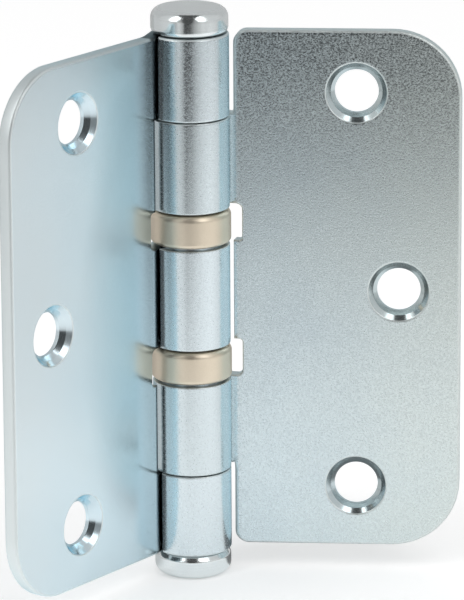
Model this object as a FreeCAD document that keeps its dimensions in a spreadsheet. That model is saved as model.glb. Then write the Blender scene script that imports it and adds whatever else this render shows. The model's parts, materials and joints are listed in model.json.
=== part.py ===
"""Ball bearing butt hinge: two folded sheet leaves on one pin, five knuckles, and a caged
thrust bearing on each side of the middle knuckle.

Millimetres, +Z up along the pin, origin on the pin's axis at half height. The three-knuckle
leaf lies along -X with its countersunk face towards -Y. The two-knuckle leaf stands open.
"""
import FreeCAD, Part
import math
import os
import Sketcher

# Driving sizes.
SIZES = {
    # Leaves
    "leaf_height": 89.0,  # also the length of the five knuckles together
    "leaf_width": 45.0,  # pin axis to free edge
    "sheet_thickness": 2.5,
    "closed_gap": 3.5,  # between the countersunk faces when the hinge is shut
    "leaf_corner_r": 11.5,
    "barrel_corner_r": 2.2,  # corners of the two-knuckle leaf beside the barrel
    "opening": 123.0,  # angle between the countersunk faces as modelled
    # Rolled knuckles
    "bend_r": 2.0,  # where the sheet leaves the flat, on its back
    "flank_slope": 20.0,  # degrees, the climb from the flat to the roll
    "seam": 0.48,  # from the roll's end to the flank
    "roll_end_round": 0.5,
    "end_knuckle": 14.0,  # length of the top and bottom knuckles
    "middle_knuckle": 17.1,
    "bearing_slot": 6.35,  # height left for each bearing
    "knuckle_gap": 0.2,
    "notch_clear": 0.65,  # from a knuckle to the edge of the other leaf
    "bearing_notch_clear": 1.7,  # from a bearing to the edge of each leaf
    "notch_corner_r": 1.0,
    # Screw holes
    "outer_hole_inset": 17.5,  # from the free edge
    "outer_hole_end": 10.5,  # from the top or bottom edge
    "middle_hole_inset": 10.4,
    "screw_hole_d": 7.3,
    "countersink_d": 10.3,
    "countersink_angle": 90.0,
    # Pin and plug
    "pin_r": 4.0,
    "pin_clear": 0.05,  # running fit in the knuckles
    "press": 0.01,  # what the driven lengths are larger than the bore
    "head_inset": 0.1,  # what the heads are smaller than the knuckles
    "head_height": 4.3,
    "head_round": 1.2,
    "head_chamfer": 0.7,
    "head_chamfer_height": 1.0,
    "pin_grip": 10.0,  # length driven into the top knuckle
    "plug_spigot": 6.0,  # length driven into the bottom knuckle
    "pin_end_gap": 0.5,
    "pin_point": 0.5,
    # Bearings
    "shell_proud": 0.2,  # what the shell is larger than the knuckles
    "shell_wall": 0.6,
    "shell_top_gap": 0.3,  # under the knuckle above
    "shell_foot_gap": 0.45,  # over the knuckle below
    "shell_top_round": 1.1,
    "shell_lip": 0.5,  # what the lower lip turns in from the wall
    "shell_bevel": 0.4,  # inside the top edge and outside the foot
    "race_clear": 0.15,  # around the pin
    "race_thickness": 1.5,
    "hub_wall": 0.85,
    "fit_clear": 0.05,  # hub in the shell's hole
    "flange_clear": 0.1,  # races inside the shell
    "ball_r": 0.6,
    "ball_clear": 0.02,  # from a ball to each race
    "ball_count": 6,
    "cage_thickness": 0.6,
    "cage_clear": 0.1,
    "pocket_clear": 0.05,
    # How far a cutting outline reaches past the metal
    "overcut": 1.0,
}

# Sizes worked out from the ones above.
DERIVED = {
    "half_height": "leaf_height / 2",
    "face_y": "closed_gap / 2",
    "back_y": "face_y + sheet_thickness",
    "rest_turn": "180 - opening",
    "bore_r": "pin_r + pin_clear",
    "knuckle_r": "bore_r + sheet_thickness",
    "bend_outer_r": "bend_r + sheet_thickness",
    "flank_angle": "180 - flank_slope",
    "roll_end_angle": "90 - flank_slope - acos((bore_r - seam) / knuckle_r) / 1 deg",
    "middle_z": "middle_knuckle / 2",
    "slot_z": "middle_z + bearing_slot",
    "end_z": "half_height - end_knuckle",
    "gap_z": "end_z - knuckle_gap",
    "past_x": "knuckle_r + overcut",
    "past_z": "half_height + overcut",
    "outer_hole_x": "leaf_width - outer_hole_inset",
    "outer_hole_z": "half_height - outer_hole_end",
    "middle_hole_x": "leaf_width - middle_hole_inset",
    "screw_hole_r": "screw_hole_d / 2",
    "notch_x": "knuckle_r + notch_clear",
    "corner_end_x": "notch_x + barrel_corner_r + overcut",
    "shell_r": "knuckle_r + shell_proud",
    "bearing_notch_x": "shell_r + bearing_notch_clear",
    "head_r": "knuckle_r - head_inset",
    "head_neck_r": "head_r - head_chamfer",
    "head_neck_z": "half_height + head_chamfer_height",
    "head_z": "half_height + head_height",
    "grip_r": "bore_r + press",
    "grip_end": "half_height - pin_grip",
    "spigot_end": "half_height - plug_spigot",
    "pin_end": "spigot_end - pin_end_gap",
    "pin_point_z": "pin_end - pin_point",
    "pin_point_r": "pin_r - pin_point",
    # Bearings, heights from the top of the knuckle below
    "shell_inner_r": "shell_r - shell_wall",
    "shell_top": "bearing_slot - shell_top_gap",
    "shell_ceiling": "shell_top - shell_wall",
    "lip_top": "shell_foot_gap + shell_wall",
    "lip_r": "shell_inner_r - shell_lip",
    "race_r": "pin_r + race_clear",
    "hub_r": "race_r + hub_wall",
    "shell_hole_r": "hub_r + fit_clear",
    "flange_r": "shell_inner_r - flange_clear",
    "neck_r": "lip_r - flange_clear",
    "flange_foot": "lip_top + flange_clear",
    "top_track": "shell_ceiling - race_thickness",
    "ball_z": "top_track - ball_r - ball_clear",
    "bottom_track": "ball_z - ball_r - ball_clear",
    "track_r": "(race_r + flange_r) / 2",
    "cage_inner_r": "race_r + cage_clear",
    "cage_outer_r": "flange_r - cage_clear",
    "cage_foot": "ball_z - cage_thickness / 2",
    "pocket_r": "ball_r + pocket_clear",
    "upper_bearing_z": "middle_z",
    "lower_bearing_z": "-slot_z",
}

SPOT = 0.01  # how near an edge must lie to the place it is looked for
Y = FreeCAD.Vector(0, 1, 0)
Z = FreeCAD.Vector(0, 0, 1)

doc = FreeCAD.newDocument("BallBearingHinge")
sheet = doc.addObject("Spreadsheet::Sheet", "Sizes")
parts = []


def fill_sheet():
    """One row for each size: its name, its value or formula, and the name as alias."""
    cells = {name: str(value) for name, value in SIZES.items()}
    cells.update({name: "=" + formula for name, formula in DERIVED.items()})
    for row, (name, content) in enumerate(cells.items(), 1):
        sheet.set(f"A{row}", name)
        sheet.set(f"B{row}", content)
        sheet.setAlias(f"B{row}", name)
    doc.recompute()


def size(name):
    """Value of a size, with its sign if the name has a minus; "0" is on the axis."""
    if name == "0":
        return 0.0
    return -size(name[1:]) if name.startswith("-") else float(getattr(sheet, name))


def bind(thing, property_name, name):
    """Tie a property or constraint to a size, with its sign if the name has a minus."""
    sign = "-" if name.startswith("-") else ""
    thing.setExpression(property_name, f"{sign}Sizes.{name.lstrip('-')}")


def new_body(name):
    body = doc.addObject("PartDesign::Body", name)
    body.Label = name
    parts.append(body)
    return body


def origin_part(body, role):
    return next(f for f in body.Origin.OriginFeatures if f.Role == role)


def new_sketch(body, name, plane):
    sketch = body.newObject("Sketcher::SketchObject", f"{body.Name}_{name}")
    sketch.AttachmentSupport = [(origin_part(body, plane), "")]
    sketch.MapMode = "FlatFace"
    return sketch


def dimension(sketch, kind, *where):
    """Add a constraint whose last argument is the name of the size that drives it."""
    *places, name = where
    value = math.radians(size(name)) if kind == "Angle" else size(name)
    index = sketch.addConstraint(Sketcher.Constraint(kind, *places, value))
    bind(sketch, f"Constraints[{index}]", name)


def place_point(sketch, line, end, across, up):
    """Hold one end of a line at two sizes from the sketch's origin."""
    for kind, axis, name in (("DistanceX", -2, across), ("DistanceY", -1, up)):
        if name == "0":
            sketch.addConstraint(Sketcher.Constraint("PointOnObject", line, end, axis))
        else:
            dimension(sketch, kind, -1, 1, line, end, name)


def polygon(body, name, plane, corners):
    """Closed outline in a sketch.

    Each corner is a pair of size names, or three where the last is its rounding: then an arc
    touches both sides, and a point on both holds the corner's place.
    """
    sketch = new_sketch(body, name, plane)
    spots = [FreeCAD.Vector(size(corner[0]), size(corner[1]), 0) for corner in corners]
    count = len(spots)
    for i in range(count):
        sketch.addGeometry(Part.LineSegment(spots[i], spots[(i + 1) % count]), False)
    for i, (across, up, *rounding) in enumerate(corners):
        before = (i - 1) % count
        if rounding:
            neighbours = spots[before], spots[(i + 1) % count]
            round_corner(sketch, before, i, spots[i], neighbours, rounding[0])
            point = sketch.addGeometry(Part.Point(spots[i]), True)
            place_point(sketch, point, 1, across, up)
            for line in (before, i):
                sketch.addConstraint(Sketcher.Constraint("PointOnObject", point, 1, line))
        else:
            sketch.addConstraint(Sketcher.Constraint("Coincident", before, 2, i, 1))
            place_point(sketch, i, 1, across, up)
    return sketch


def round_corner(sketch, before, after, corner, neighbours, rounding):
    """Join two lines by an arc; it turns half of what lies between them on each side."""
    radius = size(rounding)
    come = (corner - neighbours[0]).normalize()
    go = (neighbours[1] - corner).normalize()
    reach = radius * math.tan(come.getAngle(go) / 2)
    left = come.cross(go).z > 0
    inward = Z.cross(come) if left else come.cross(Z)
    start = corner - come * reach
    middle = start + inward * radius
    ends = (start, corner + go * reach)
    angles = [math.atan2(end.y - middle.y, end.x - middle.x) for end in ends]
    if not left:
        angles.reverse()
    arc = sketch.addGeometry(Part.ArcOfCircle(Part.Circle(middle, Z, radius), *angles), False)
    first, last = (1, 2) if left else (2, 1)
    sketch.addConstraint(Sketcher.Constraint("Tangent", before, 2, arc, first))
    sketch.addConstraint(Sketcher.Constraint("Tangent", arc, last, after, 1))
    dimension(sketch, "Radius", arc, rounding)


def circles(body, name, plane, rounds):
    """Circles in a sketch, each a centre as a pair of size names and a radius."""
    sketch = new_sketch(body, name, plane)
    for i, (across, up, radius) in enumerate(rounds):
        centre = FreeCAD.Vector(size(across), size(up), 0)
        sketch.addGeometry(Part.Circle(centre, Z, size(radius)), False)
        place_point(sketch, i, 3, across, up)
        dimension(sketch, "Radius", i, radius)
    return sketch


def feature(body, kind, name, sketch):
    made = body.newObject(f"PartDesign::{kind}", f"{body.Name}_{name}")
    made.Profile = sketch
    sketch.Visibility = False
    return made


def pad(body, name, sketch, length, side="One side"):
    made = feature(body, "Pad", name, sketch)
    made.SideType = side
    bind(made, "Length", length)
    doc.recompute()
    return made


def pocket_through(body, name, sketch):
    """Cut the outline through the whole body, both ways from its plane."""
    before = body.Shape.Volume
    made = feature(body, "Pocket", name, sketch)
    made.SideType = "Two sides"
    made.Type = "ThroughAll"
    made.Type2 = "ThroughAll"
    doc.recompute()
    check_smaller(made, before)
    return made


def mirror(body, name, original, plane):
    before = body.Shape.Volume
    made = body.newObject("PartDesign::Mirrored", f"{body.Name}_{name}")
    made.Originals = [original]
    made.MirrorPlane = (origin_part(body, plane), [""])
    body.Tip = made
    doc.recompute()
    check_smaller(made, before)


def check_smaller(made, before):
    if not made.Shape.Volume < before:
        raise RuntimeError(f"{made.Name} cut nothing")


def turn(body, corners):
    """Turned piece: a half section, in radius and height, revolved round the pin's axis."""
    made = feature(body, "Revolution", "turning", polygon(body, "section", "XZ_Plane", corners))
    made.ReferenceAxis = (made.Profile[0], ["V_Axis"])
    doc.recompute()


def dress(body, kind, name, edges, amount, property_name):
    """Fillet or bevel on the edges of the body's last shape that pass the test."""
    base = body.Tip
    found = [f"Edge{i}" for i, edge in enumerate(base.Shape.Edges, 1) if edges(edge)]
    if not found:
        raise RuntimeError(f"{body.Name}_{name} found no edge")
    made = body.newObject(f"PartDesign::{kind}", f"{body.Name}_{name}")
    made.Base = (base, found)
    bind(made, property_name, amount)
    doc.recompute()


def rim(radius, height):
    """Test for the circular edge of a turned piece with this radius and height."""
    radius, height = size(radius), size(height)

    def test(edge):
        curve = edge.Curve
        if not isinstance(curve, Part.Circle) or abs(curve.Axis.z) < 0.9:
            return False
        return abs(curve.Radius - radius) < SPOT and abs(curve.Center.z - height) < SPOT

    return test


def across_sheet(across, heights):
    """Test for the short edges through the sheet at this distance and these heights."""
    spots = [(size(across), size(height)) for height in heights]

    def test(edge):
        ends = [vertex.Point for vertex in edge.Vertexes]
        if len(ends) != 2 or (ends[0] - ends[1]).cross(Y).Length > SPOT:
            return False
        middle = (ends[0] + ends[1]) / 2
        return any(math.hypot(middle.x - a, middle.z - b) < SPOT for a, b in spots)

    return test


def roll_end(edge):
    """Test for the two long edges of the sheet's rolled end."""
    ends = [vertex.Point for vertex in edge.Vertexes]
    if len(ends) != 2 or abs(ends[0].z - ends[1].z) < SPOT:
        return False
    place = FreeCAD.Vector(ends[0].x, ends[0].y, 0)
    turned = math.degrees(math.atan2(place.y, place.x))
    radii = size("bore_r"), size("knuckle_r")
    at_end = abs(turned - size("roll_end_angle")) < SPOT
    return at_end and any(abs(place.Length - radius) < SPOT for radius in radii)


def sheet_section(body):
    """Section of the folded sheet across the pin: leaf, bend, flank and roll.

    The flank's outer side touches the roll's circle and the bend's circle, which lie on
    opposite sides of it, so the bend's centre c satisfies c . n = knuckle_r + bend_r, with
    n the flank's normal.
    """
    sketch = new_sketch(body, "section", "XY_Plane")
    slope = math.radians(90 - size("flank_slope"))
    stop = math.radians(size("roll_end_angle"))
    normal = FreeCAD.Vector(math.cos(slope), math.sin(slope), 0)
    toward_end = FreeCAD.Vector(math.cos(stop), math.sin(stop), 0)
    up = size("back_y") + size("bend_r")
    along = (size("knuckle_r") + size("bend_r") - up * normal.y) / normal.x
    centre = FreeCAD.Vector(along, up, 0)
    root = FreeCAD.Vector()

    def on_bend(radius):
        return centre - normal * size(radius)

    def arc(middle, radius, start, end):
        return Part.ArcOfCircle(Part.Circle(middle, Z, size(radius)), start, end)

    def flat(across, height):
        return FreeCAD.Vector(across, size(height), 0)

    bend_span = (math.pi + slope, 1.5 * math.pi)
    roll_span = (slope, 2 * math.pi + stop)
    width = size("leaf_width")
    outline = [
        Part.LineSegment(flat(width, "face_y"), flat(width, "back_y")),
        Part.LineSegment(flat(width, "back_y"), flat(along, "back_y")),
        arc(centre, "bend_r", *bend_span),
        Part.LineSegment(on_bend("bend_r"), normal * size("knuckle_r")),
        arc(root, "knuckle_r", *roll_span),
        Part.LineSegment(toward_end * size("bore_r"), toward_end * size("knuckle_r")),
        arc(root, "bore_r", *roll_span),
        Part.LineSegment(normal * size("bore_r"), on_bend("bend_outer_r")),
        arc(centre, "bend_outer_r", *bend_span),
        Part.LineSegment(flat(along, "face_y"), flat(width, "face_y")),
    ]
    sketch.addGeometry(outline, False)
    edge, back, bend, flank, roll, end, bore, inner_flank, outer_bend, face = range(10)
    rules = [
        ("Coincident", edge, 2, back, 1),
        ("Tangent", back, 2, bend, 2),
        ("Tangent", bend, 1, flank, 1),
        ("Tangent", flank, 2, roll, 1),
        ("Coincident", roll, 2, end, 2),
        ("Coincident", end, 1, bore, 2),
        ("Tangent", bore, 1, inner_flank, 1),
        ("Tangent", inner_flank, 2, outer_bend, 1),
        ("Tangent", outer_bend, 2, face, 1),
        ("Coincident", face, 2, edge, 1),
        ("Vertical", edge),
        ("Horizontal", back),
        ("Horizontal", face),
        ("Coincident", roll, 3, -1, 1),
        ("Coincident", bore, 3, -1, 1),
        ("Coincident", outer_bend, 3, bend, 3),
        ("PointOnObject", -1, 1, end),
    ]
    for rule in rules:
        sketch.addConstraint(Sketcher.Constraint(*rule))
    dimension(sketch, "DistanceX", -1, 1, edge, 1, "leaf_width")
    dimension(sketch, "DistanceY", -1, 1, back, 1, "back_y")
    dimension(sketch, "Radius", roll, "knuckle_r")
    dimension(sketch, "Radius", bore, "bore_r")
    dimension(sketch, "Radius", bend, "bend_r")
    dimension(sketch, "Radius", outer_bend, "bend_outer_r")
    dimension(sketch, "Angle", flank, "flank_angle")
    dimension(sketch, "Angle", end, "roll_end_angle")
    return sketch


def screw_holes(body):
    """Three countersunk holes, two in line and the middle one nearer the free edge."""
    spots = [
        ("outer_hole_x", "outer_hole_z"),
        ("middle_hole_x", "0"),
        ("outer_hole_x", "-outer_hole_z"),
    ]
    rounds = [(*spot, "screw_hole_r") for spot in spots]
    sketch = circles(body, "holes", "XZ_Plane", rounds)
    bind(sketch, "AttachmentOffset.Base.z", "-face_y")
    doc.recompute()
    before = body.Shape.Volume
    hole = feature(body, "Hole", "screw_holes", sketch)
    hole.DepthType = "ThroughAll"
    hole.HoleCutType = "Countersink"
    hole.HoleCutCustomValues = True
    bind(hole, "Diameter", "screw_hole_d")
    bind(hole, "HoleCutDiameter", "countersink_d")
    bind(hole, "HoleCutCountersinkAngle", "countersink_angle")
    doc.recompute()
    check_smaller(hole, before)


def leaf(name, mirrored_cuts, middle_cuts, turn_to_place):
    """A leaf with its knuckles, folded from one sheet and notched where the other's are.

    It is drawn along +X with its countersunk face towards -Y, and then turned into place.
    """
    body = new_body(name)
    pad(body, "sheet", sheet_section(body), "leaf_height", "Symmetric")
    dress(body, "Fillet", "roll_end", roll_end, "roll_end_round", "Radius")
    for i, corners in enumerate(mirrored_cuts + middle_cuts):
        outline = polygon(body, f"notch_outline_{i}", "XZ_Plane", corners)
        cut = pocket_through(body, f"notch_{i}", outline)
        if corners in mirrored_cuts:
            mirror(body, f"notch_{i}_below", cut, "XY_Plane")
    both_ends = ("half_height", "-half_height")
    corner = across_sheet("leaf_width", both_ends)
    dress(body, "Fillet", "corners", corner, "leaf_corner_r", "Radius")
    screw_holes(body)
    body.Placement = turn_to_place
    return body


def leaves():
    """The two leaves; each is notched for the other's knuckles and for the bearings."""
    beside_upper_knuckle = [
        ("-past_x", "middle_z"),
        ("bearing_notch_x", "middle_z", "notch_corner_r"),
        ("bearing_notch_x", "slot_z", "notch_corner_r"),
        ("notch_x", "slot_z"),
        ("notch_x", "end_z"),
        ("-past_x", "end_z"),
    ]
    beside_end_knuckle = [
        ("-past_x", "gap_z"),
        ("notch_x", "gap_z"),
        ("notch_x", "half_height", "barrel_corner_r"),
        ("corner_end_x", "half_height"),
        ("corner_end_x", "past_z"),
        ("-past_x", "past_z"),
    ]
    beside_middle = [
        ("-past_x", "slot_z"),
        ("bearing_notch_x", "slot_z", "notch_corner_r"),
        ("bearing_notch_x", "middle_z", "notch_corner_r"),
        ("notch_x", "middle_z"),
        ("notch_x", "-middle_z"),
        ("bearing_notch_x", "-middle_z", "notch_corner_r"),
        ("bearing_notch_x", "-slot_z", "notch_corner_r"),
        ("-past_x", "-slot_z"),
    ]
    leaf(
        "three_knuckle_leaf",
        [beside_upper_knuckle],
        [],
        FreeCAD.Placement(FreeCAD.Vector(), FreeCAD.Rotation(Y, 180)),
    )
    swing = leaf(
        "two_knuckle_leaf",
        [beside_end_knuckle],
        [beside_middle],
        FreeCAD.Placement(FreeCAD.Vector(), FreeCAD.Rotation(-Z, 1)),
    )
    bind(swing, "Placement.Rotation.Angle", "rest_turn")


def pin():
    """Pin with a button head, driven into the top knuckle and free in the others."""
    body = new_body("hinge_pin")
    section = [
        ("0", "head_z"),
        ("head_r", "head_z"),
        ("head_r", "head_neck_z"),
        ("head_neck_r", "half_height"),
        ("grip_r", "half_height"),
        ("grip_r", "grip_end"),
        ("pin_r", "grip_end"),
        ("pin_r", "-pin_point_z"),
        ("pin_point_r", "-pin_end"),
        ("0", "-pin_end"),
    ]
    turn(body, section)
    dress(body, "Fillet", "head_edge", rim("head_r", "head_z"), "head_round", "Radius")


def plug():
    """Button plug with the head's form, driven into the bottom knuckle."""
    body = new_body("bottom_plug")
    section = [
        ("0", "-head_z"),
        ("head_r", "-head_z"),
        ("head_r", "-head_neck_z"),
        ("head_neck_r", "-half_height"),
        ("grip_r", "-half_height"),
        ("grip_r", "-spigot_end"),
        ("0", "-spigot_end"),
    ]
    turn(body, section)
    dress(body, "Fillet", "head_edge", rim("head_r", "-head_z"), "head_round", "Radius")


def shell(name):
    """Drawn shell whose lower lip is turned in under the bottom race's flange."""
    body = new_body(name)
    section = [
        ("shell_hole_r", "shell_top"),
        ("shell_r", "shell_top"),
        ("shell_r", "shell_foot_gap"),
        ("lip_r", "shell_foot_gap"),
        ("lip_r", "lip_top"),
        ("shell_inner_r", "lip_top"),
        ("shell_inner_r", "shell_ceiling"),
        ("shell_hole_r", "shell_ceiling"),
    ]
    turn(body, section)
    top, foot = rim("shell_r", "shell_top"), rim("shell_r", "shell_foot_gap")
    inside = rim("shell_inner_r", "shell_ceiling")
    dress(body, "Fillet", "top_edge", top, "shell_top_round", "Radius")
    dress(body, "Chamfer", "foot", foot, "shell_bevel", "Size")
    dress(body, "Chamfer", "inside", inside, "shell_bevel", "Size")
    return body


def top_race(name):
    """Race whose hub passes the shell's hole and bears on the knuckle above."""
    body = new_body(name)
    section = [
        ("race_r", "bearing_slot"),
        ("hub_r", "bearing_slot"),
        ("hub_r", "shell_ceiling"),
        ("flange_r", "shell_ceiling"),
        ("flange_r", "top_track"),
        ("race_r", "top_track"),
    ]
    turn(body, section)
    outer = rim("flange_r", "shell_ceiling")
    dress(body, "Chamfer", "outer_edge", outer, "shell_bevel", "Size")
    return body


def bottom_race(name):
    """Race held in by the shell's lip; its neck stands on the knuckle below."""
    body = new_body(name)
    section = [
        ("race_r", "bottom_track"),
        ("flange_r", "bottom_track"),
        ("flange_r", "flange_foot"),
        ("neck_r", "flange_foot"),
        ("neck_r", "0"),
        ("race_r", "0"),
    ]
    turn(body, section)
    return body


def cage(name):
    """Flat ring that keeps the balls apart, one round pocket to each."""
    body = new_body(name)
    rings = [("0", "0", "cage_inner_r"), ("0", "0", "cage_outer_r")]
    ring = circles(body, "ring", "XY_Plane", rings)
    bind(ring, "AttachmentOffset.Base.z", "cage_foot")
    pad(body, "plate", ring, "cage_thickness")
    pocket = circles(body, "pocket_outline", "XY_Plane", [("track_r", "0", "pocket_r")])
    first = pocket_through(body, "pocket", pocket)
    pockets = body.newObject("PartDesign::PolarPattern", f"{name}_pockets")
    pockets.Originals = [first]
    pockets.Axis = (origin_part(body, "Z_Axis"), [""])
    pockets.Angle = 360
    bind(pockets, "Occurrences", "ball_count")
    body.Tip = pockets
    doc.recompute()
    return body


def balls(name, height):
    """One ball in each pocket, evenly round the pin."""
    for i in range(int(size("ball_count"))):
        ball = doc.addObject("Part::Sphere", f"{name}_ball_{i + 1:02d}")
        ball.Label = ball.Name
        bind(ball, "Radius", "ball_r")
        angle = f"360 deg * {i} / Sizes.ball_count"
        ball.setExpression("Placement.Base.x", f"Sizes.track_r * cos({angle})")
        ball.setExpression("Placement.Base.y", f"Sizes.track_r * sin({angle})")
        ball.setExpression("Placement.Base.z", f"Sizes.{height} + Sizes.ball_z")
        parts.append(ball)


def bearing(name, height):
    """One thrust bearing, its pieces drawn from the knuckle below and lifted to it."""
    pieces = [
        shell(f"{name}_bearing_shell"),
        top_race(f"{name}_bearing_top_race"),
        cage(f"{name}_ball_cage"),
        bottom_race(f"{name}_bearing_bottom_race"),
    ]
    for piece in pieces:
        bind(piece, "Placement.Base.z", height)
    balls(name, height)


def check():
    """Every object computed without error, and every piece one valid closed solid."""
    for item in doc.Objects:
        if "Invalid" in item.State or "Error" in item.State:
            raise RuntimeError(f"{item.Name} is {item.State}")
    for part in parts:
        shape = part.Shape
        if shape.isNull() or not shape.isValid() or len(shape.Solids) != 1:
            raise RuntimeError(f"{part.Label} isn't one valid solid")


def export():
    os.makedirs("parts", exist_ok=True)
    for part in parts:
        part.Shape.exportStep(f"parts/{part.Label}.step")
        low, high = part.Shape.BoundBox.ZMin, part.Shape.BoundBox.ZMax
        print(f"{part.Label}: {part.Shape.Volume:.2f} mm3, z {low:.2f} to {high:.2f}")


fill_sheet()
leaves()
pin()
plug()
bearing("upper", "upper_bearing_z")
bearing("lower", "lower_bearing_z")
doc.recompute()
check()
export()
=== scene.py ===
# %% [markdown]
# # A ball bearing butt hinge in zinc plate
#
# The hinge is pressed and rolled from sheet steel, turned parts hold it together, and everything is
# plated. Its looks are in three things: edges that are never quite sharp, a plating that mirrors
# softly through a fine grain, and the studio that it mirrors. model.glb gives the measured solids,
# and each visible piece is made again here as a smooth surface of the same size.

import json
import math

import bpy
import mathutils
import numpy as np
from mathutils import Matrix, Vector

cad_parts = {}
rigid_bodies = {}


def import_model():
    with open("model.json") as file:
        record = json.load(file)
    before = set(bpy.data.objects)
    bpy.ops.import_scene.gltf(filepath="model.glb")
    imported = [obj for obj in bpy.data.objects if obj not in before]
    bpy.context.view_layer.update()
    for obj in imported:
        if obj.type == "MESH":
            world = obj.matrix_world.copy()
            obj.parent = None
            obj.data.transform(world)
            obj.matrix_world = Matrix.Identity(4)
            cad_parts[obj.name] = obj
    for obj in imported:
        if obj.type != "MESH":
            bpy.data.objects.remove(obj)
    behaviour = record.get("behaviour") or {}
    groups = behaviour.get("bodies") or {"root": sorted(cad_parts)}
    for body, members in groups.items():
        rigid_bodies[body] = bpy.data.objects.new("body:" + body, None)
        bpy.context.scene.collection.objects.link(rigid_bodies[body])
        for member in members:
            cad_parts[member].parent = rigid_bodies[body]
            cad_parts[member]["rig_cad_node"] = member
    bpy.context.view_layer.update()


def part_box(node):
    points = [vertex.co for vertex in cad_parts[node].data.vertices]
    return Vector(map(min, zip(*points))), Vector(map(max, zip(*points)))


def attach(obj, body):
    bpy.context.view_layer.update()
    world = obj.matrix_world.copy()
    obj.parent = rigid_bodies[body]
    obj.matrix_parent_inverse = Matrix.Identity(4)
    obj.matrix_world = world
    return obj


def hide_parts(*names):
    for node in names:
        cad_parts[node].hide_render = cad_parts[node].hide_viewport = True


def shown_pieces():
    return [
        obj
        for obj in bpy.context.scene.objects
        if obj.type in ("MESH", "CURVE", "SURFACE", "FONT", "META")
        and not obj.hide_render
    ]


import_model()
MM = 0.001

# %% [markdown]
# ## Sizes
#
# What can be measured on the solids is measured there. The rest are the sizes of the sheet, the
# roll and the bearings, in millimetres, as a hinge maker would write them on the drawing.


# %% Sizes of the hinge
def corners_mm(node):
    """Lowest and highest corner of a solid, in millimetres."""
    low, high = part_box(node)
    return np.array(low) / MM, np.array(high) / MM


leaf_low, leaf_high = corners_mm("three_knuckle_leaf")
pin_low, pin_high = corners_mm("hinge_pin")
shell_low, shell_high = corners_mm("upper_bearing_shell")
HALF_HEIGHT = leaf_high[2]
LEAF_WIDTH = -leaf_low[0]
HEAD_TOP = pin_high[2]
HEAD_R = pin_high[0]
SHELL_R = min(shell_high[:2])
SHEET = 2.5
FACE_Y = 1.75
BACK_Y = FACE_Y + SHEET
PIN_R = 4.0
GRIP_R = 4.06
BORE_R = 4.05
KNUCKLE_R = BORE_R + SHEET
REST_TURN = math.radians(57)
print(f"leaf {LEAF_WIDTH:.1f} x {2 * HALF_HEIGHT:.1f} mm, head {2 * HEAD_R:.2f} mm across")

# %% [markdown]
# ## Outlines
#
# A flat outline is a list of corners, and a pressed or turned corner has a radius. So one function
# turns corners into points, with an arc where two sides meet. A second one adds points close to the
# ends of long sides: smooth shading blends the normals of neighbouring faces, and these points keep
# the blend beside the corner and the long face flat.


# %% Rounded outlines
def unit(vectors):
    """The same directions at length 1."""
    return vectors / np.linalg.norm(vectors, axis=-1, keepdims=True)


def arc_at(before, corner, after, radius, step):
    """Points of the arc that touches both sides of a corner.

    It starts radius * tan(turn / 2) before the corner, and its centre lies one radius to the
    inner side; the points are the centre plus the radius at evenly spaced angles.
    """
    come, go = unit(corner - before), unit(after - corner)
    turn = math.atan2(come[0] * go[1] - come[1] * go[0], come @ go)
    side = np.array([-come[1], come[0]]) * np.sign(turn)
    start = corner - come * radius * math.tan(abs(turn) / 2)
    count = max(2, int(math.ceil(abs(turn) / step)) + 1)
    angle = np.linspace(0, turn, count)
    spoke = -side * radius
    turned = np.stack(
        [
            spoke[0] * np.cos(angle) - spoke[1] * np.sin(angle),
            spoke[0] * np.sin(angle) + spoke[1] * np.cos(angle),
        ],
        axis=1,
    )
    return start + side * radius + turned


def rounded(corners, step=math.radians(9), closed=True):
    """Outline as points, from corners (a, b) or (a, b, radius); an open one keeps its ends."""
    spots = np.array([corner[:2] for corner in corners], float)
    count = len(corners)
    runs = []
    for i, corner in enumerate(corners):
        inner = closed or 0 < i < count - 1
        if len(corner) == 3 and inner:
            runs.append(arc_at(spots[i - 1], spots[i], spots[(i + 1) % count], corner[2], step))
        else:
            runs.append(spots[i : i + 1])
    return np.concatenate(runs)


def supported(path, near=0.12, closed=True):
    """The same path, with two more points on each long side, near its ends."""
    ends = np.roll(path, -1, axis=0) if closed else np.vstack([path[1:], path[-1:]])
    run = ends - path
    length = np.linalg.norm(run, axis=1)
    long = np.flatnonzero(length > 3 * near)
    share = near / length[long, None]
    first, last = path[long] + run[long] * share, ends[long] - run[long] * share
    added = np.stack([first, last], axis=1).reshape(-1, 2)
    return np.insert(path, np.repeat(long + 1, 2), added, axis=0)


# %% [markdown]
# ## From points to a mesh
#
# Every piece is rows of points, neighbouring rows joined by quads. A leaf's points carry marks that
# its finish reads: rim is 1 on the softened edges, which rub pale and dull; the shade mark is 1
# where the roll hides the sheet and lower on the flat sheet beside it, and darkens the colour there
# as painted shade in the crevice; smooth is 1 where a cutter has taken the grain away, and lower
# where a roller has. The volume, a sum over the faces, tells whether they point outwards and is
# printed as a measure.


# %% Meshes from grids
def bands(rows, columns, wrap_rows=False):
    """Quads between neighbouring rows of a grid whose columns run all the way round."""
    index = np.arange(rows * columns).reshape(rows, columns)
    above = np.roll(index, -1, axis=0) if wrap_rows else index[1:]
    here = index if wrap_rows else index[:-1]
    quads = [here, np.roll(here, -1, axis=1), np.roll(above, -1, axis=1), above]
    return np.stack(quads, axis=-1).reshape(-1, 4)


def volume_of(points, triangles):
    """A sixth of the sum of a . (b x c) over all triangles of a closed surface."""
    a, b, c = (points[triangles[:, i]] for i in range(3))
    return float(np.einsum("ij,ij->", a, np.cross(b, c)) / 6)


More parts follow.
